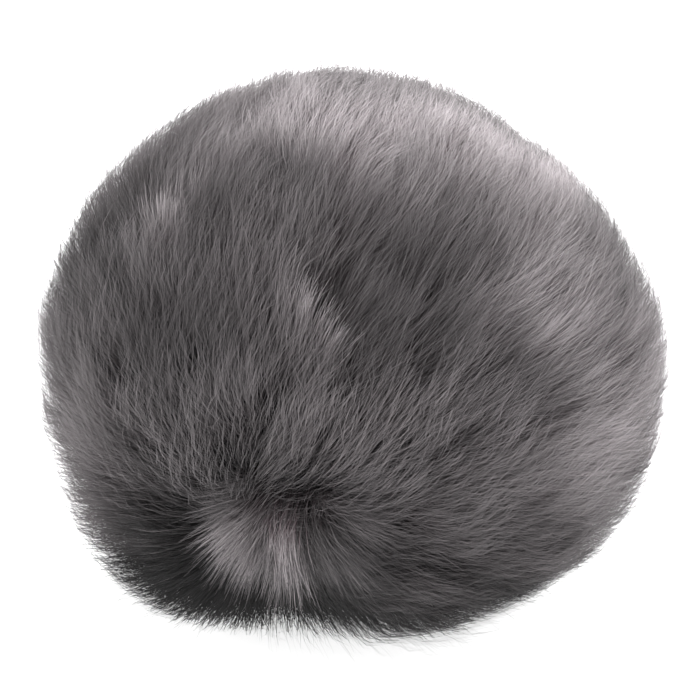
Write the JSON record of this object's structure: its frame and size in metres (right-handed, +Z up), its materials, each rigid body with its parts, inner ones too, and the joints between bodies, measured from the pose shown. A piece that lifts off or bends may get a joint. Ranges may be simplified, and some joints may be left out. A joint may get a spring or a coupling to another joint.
{
  "type": "furry microphone windscreen",
  "caption": "Long-pile furry ball windscreen lying on its side, with a vented basket inside and a screw clamp round the microphone's rear end.",
  "frame": {"origin": "on the surface that it lies on, below the middle of the overall box", "axes": "+Z up; the microphone's axis is level, along Y, with the crown at -Y and the microphone's neck at +Y"},
  "size_m": [0.1354, 0.136, 0.1154],
  "materials": {
    "fur": "matte",
    "lining": "matte",
    "hem_webbing": "matte",
    "elastic": "matte",
    "basket_plastic": "satin",
    "basket_mesh": "matte",
    "collar_plastic": "satin",
    "clamp_plastic": "satin",
    "boot_rubber": "matte",
    "seal_rubber": "matte",
    "washer_nylon": "satin",
    "foam": "matte",
    "screw_steel": "satin"
  },
  "bodies": {
    "windscreen": {"fur_crown_patch": "fur", "fur_gore_bottom": "fur", "fur_gore_left": "fur", "fur_gore_right": "fur", "fur_gore_top": "fur", "lining_gore_bottom": "lining", "lining_gore_left": "lining", "lining_gore_right": "lining", "lining_gore_top": "lining", "hem_tape": "hem_webbing", "hem_elastic": "elastic", "basket_front_half": "basket_plastic", "basket_rear_half": "basket_plastic", "basket_joining_ring": "basket_plastic", "basket_front_mesh": "basket_mesh", "basket_rear_mesh": "basket_mesh", "neck_collar": "collar_plastic", "neck_foam": "foam", "collar_seal": "seal_rubber", "collar_screw_1": "screw_steel", "collar_screw_2": "screw_steel", "collar_screw_3": "screw_steel", "mic_boot": "boot_rubber", "mic_collet": "collar_plastic"},
    "thrust": {"thrust_washer": "washer_nylon"},
    "ring": {"clamp_ring": "clamp_plastic"}
  },
  "joints": [
    {"name": "thrust_run", "type": "slide", "parent": "windscreen", "child": "thrust", "axis": [0, -1, 0], "range_m": [0, 0.0015]},
    {"name": "clamp_turn", "type": "hinge", "parent": "thrust", "child": "ring", "pos_m": [0, 0.0631, 0.0565], "axis": [0, -1, 0], "range_deg": [0, 270]}
  ],
  "couplings": [
    {"joint": "thrust_run", "follows": "clamp_turn", "m_per_rad": 0.000318}
  ]
}
